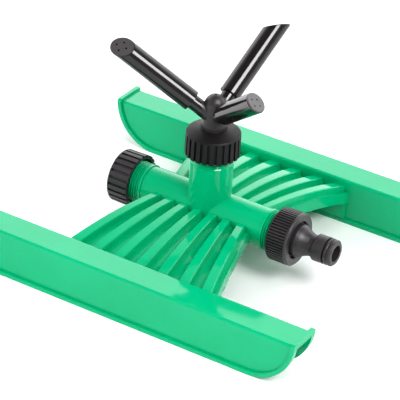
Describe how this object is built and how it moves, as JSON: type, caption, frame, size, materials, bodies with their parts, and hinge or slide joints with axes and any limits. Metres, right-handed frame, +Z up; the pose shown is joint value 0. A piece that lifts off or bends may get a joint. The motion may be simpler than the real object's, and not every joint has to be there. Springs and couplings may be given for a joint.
{
  "type": "rotary lawn sprinkler",
  "caption": "Green sled-base lawn sprinkler: ribbed fan deck on long runners, riser with ribbed black cap, spinning hub with raised angled nozzle arms and a quick-connect inlet.",
  "frame": {"origin": "on the floor under the riser's axis, at the middle of the base", "axes": "+X along the water pipe to the inlet spigot, +Y to the far runner, +Z up the riser"},
  "size_m": [0.2448, 0.2058, 0.138],
  "materials": {
    "green_plastic": "glossy injection-moulded green plastic",
    "black_plastic": "satin black plastic",
    "seal_rubber": "black rubber",
    "dark_bush": "matt black bearing plastic",
    "white_washer": "white low-friction plastic",
    "clip_steel": "spring steel"
  },
  "bodies": {
    "base": {"centre_body": "green_plastic", "rail_far": "green_plastic", "rail_near": "green_plastic", "end_cap": "black_plastic", "end_cap_washer": "seal_rubber", "inlet_nut": "black_plastic", "inlet_washer": "seal_rubber", "inlet_spigot": "black_plastic", "spigot_o_ring": "seal_rubber", "riser_cap": "black_plastic", "riser_washer": "seal_rubber", "stem_bush": "dark_bush"},
    "rotor": {"rotor_hub": "black_plastic", "stem_seal": "seal_rubber", "thrust_washer": "white_washer", "stem_clip": "clip_steel", "arm_seal_1": "seal_rubber", "arm_seal_2": "seal_rubber", "arm_seal_3": "seal_rubber"},
    "nozzle_1": {"nozzle_tube_1": "black_plastic"},
    "nozzle_2": {"nozzle_tube_2": "black_plastic"},
    "nozzle_3": {"nozzle_tube_3": "black_plastic"}
  },
  "joints": [
    {"name": "rotor_spin", "type": "hinge", "parent": "base", "child": "rotor", "pos_m": [0, 0, 0.0886], "axis": [0, 0, 1], "continuous": true},
    {"name": "nozzle_1_twist", "type": "hinge", "parent": "rotor", "child": "nozzle_1", "pos_m": [-0.03357, -0.01526, 0.11901], "axis": [-0.7529, -0.3227, 0.5736], "continuous": true},
    {"name": "nozzle_2_twist", "type": "hinge", "parent": "rotor", "child": "nozzle_2", "pos_m": [0.03, -0.02144, 0.11901], "axis": [0.6559, -0.4907, 0.5736], "continuous": true},
    {"name": "nozzle_3_twist", "type": "hinge", "parent": "rotor", "child": "nozzle_3", "pos_m": [0.00357, 0.0367, 0.11901], "axis": [0.097, 0.8134, 0.5736], "continuous": true}
  ]
}
